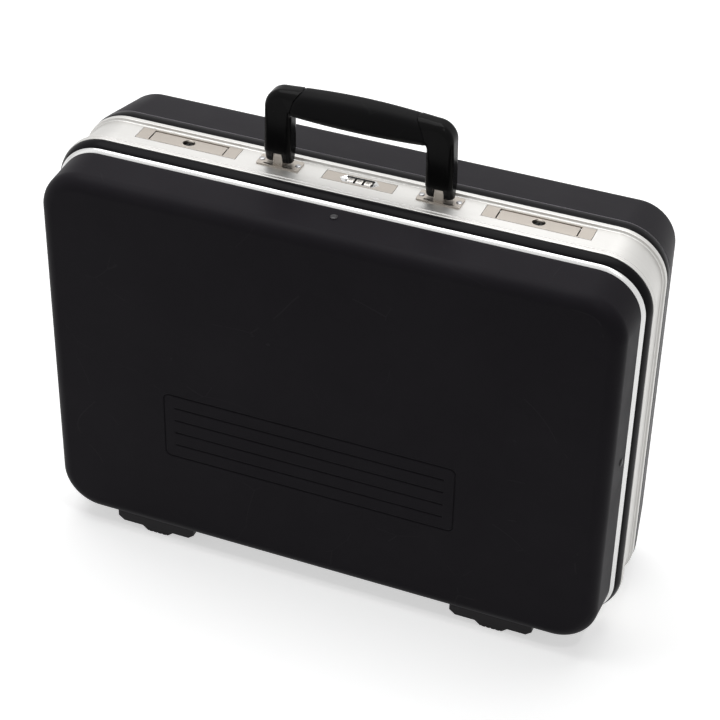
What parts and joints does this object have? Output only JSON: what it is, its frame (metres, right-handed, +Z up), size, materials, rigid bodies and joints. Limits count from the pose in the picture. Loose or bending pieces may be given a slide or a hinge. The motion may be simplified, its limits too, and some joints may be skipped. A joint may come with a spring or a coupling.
{
  "type": "hard tool case",
  "caption": "Hard-sided tool case with two moulded half shells on aluminium frames, bottom hinge, flip-lever latches with keys, dial lock and a swinging handle.",
  "frame": {"origin": "on the floor below the middle of the case's width and depth, the case standing on its feet", "axes": "+X along the width, lid facing -Y, +Z up to the handle"},
  "size_m": [0.4832, 0.1586, 0.4148],
  "materials": {
    "shell": "moulded black plastic with a fine leather-like grain",
    "edging": "smooth black edging with a soft gloss",
    "bright_aluminium": "bright anodised aluminium",
    "channel_aluminium": "drawn aluminium, satin, with fine lengthwise lines",
    "lock_metal": "warm nickel-plated steel, lightly brushed",
    "steel": "plain zinc-plated steel",
    "dial_metal": "plated dial with dark numbers",
    "key_black": "blackened lock cylinder",
    "handle_arm": "black moulded plastic, satin",
    "handle_grip": "black grip with a fine grain",
    "foot": "dark grey rubber",
    "seal": "black rubber seal"
  },
  "bodies": {
    "base": {"base_shell": "shell", "base_frame": "channel_aluminium", "base_front_edging": "edging", "base_rear_edging": "edging", "base_foot_left": "foot", "base_foot_right": "foot", "base_foot_screws": "steel", "handle_bracket_left": "lock_metal", "handle_bracket_right": "lock_metal", "handle_bracket_rivets": "steel", "handle_pin_left": "steel", "handle_pin_right": "steel", "latch_housing_left": "lock_metal", "latch_housing_right": "lock_metal", "latch_pin_left": "steel", "latch_pin_right": "steel", "latch_spring_left": "steel", "latch_spring_right": "steel", "combination_housing": "steel", "combination_plate": "lock_metal", "dial_detent_spring": "steel", "hinge_base_leaf": "steel", "hinge_pin": "steel", "hinge_base_rivets": "steel"},
    "lid": {"lid_shell": "shell", "lid_frame": "bright_aluminium", "lid_seal": "seal", "lid_rivets": "steel", "lid_keeper_left": "steel", "lid_keeper_right": "steel", "lid_keeper_middle": "steel", "lid_keeper_rivets": "steel", "lid_foot_left": "foot", "lid_foot_right": "foot", "lid_foot_screws": "steel", "hinge_lid_leaf": "steel", "hinge_lid_rivets": "steel"},
    "handle": {"handle_arm_left": "handle_arm", "handle_arm_right": "handle_arm", "handle_grip": "handle_grip", "handle_core": "steel"},
    "lever_left": {"latch_lever_left": "lock_metal"},
    "lever_right": {"latch_lever_right": "lock_metal"},
    "key_left": {"key_cylinder_left": "key_black", "key_cam_left": "steel"},
    "key_right": {"key_cylinder_right": "key_black", "key_cam_right": "steel"},
    "dial_left": {"dial_left": "dial_metal"},
    "dial_middle": {"dial_middle": "dial_metal"},
    "dial_right": {"dial_right": "dial_metal"},
    "lock_shaft": {"dial_shaft": "steel"}
  },
  "joints": [
    {"name": "lid_hinge", "type": "hinge", "parent": "base", "child": "lid", "pos_m": [0, -0.03575, 0.006], "axis": [1, 0, 0], "range_deg": [0, 95]},
    {"name": "handle_swing", "type": "hinge", "parent": "base", "child": "handle", "pos_m": [0, 0.0002, 0.3525], "axis": [1, 0, 0], "range_deg": [-68, 72]},
    {"name": "lever_left_lift", "type": "hinge", "parent": "base", "child": "lever_left", "pos_m": [-0.1425, 0.0051, 0.3428], "axis": [-1, 0, 0], "range_deg": [0, 60]},
    {"name": "key_left_turn", "type": "hinge", "parent": "base", "child": "key_left", "pos_m": [-0.1425, 0.0002, 0.3414], "axis": [0, 0, 1], "range_deg": [0, 90]},
    {"name": "lever_right_lift", "type": "hinge", "parent": "base", "child": "lever_right", "pos_m": [0.1425, 0.0051, 0.3428], "axis": [-1, 0, 0], "range_deg": [0, 60]},
    {"name": "key_right_turn", "type": "hinge", "parent": "base", "child": "key_right", "pos_m": [0.1425, 0.0002, 0.3414], "axis": [0, 0, 1], "range_deg": [0, 90]},
    {"name": "dial_left_spin", "type": "hinge", "parent": "base", "child": "dial_left", "pos_m": [-0.007, 0.0002, 0.3373], "axis": [1, 0, 0], "continuous": true},
    {"name": "dial_middle_spin", "type": "hinge", "parent": "base", "child": "dial_middle", "pos_m": [0, 0.0002, 0.3373], "axis": [1, 0, 0], "continuous": true},
    {"name": "dial_right_spin", "type": "hinge", "parent": "base", "child": "dial_right", "pos_m": [0.007, 0.0002, 0.3373], "axis": [1, 0, 0], "continuous": true},
    {"name": "shaft_throw", "type": "slide", "parent": "base", "child": "lock_shaft", "axis": [1, 0, 0], "range_m": [0, 0.005]}
  ]
}
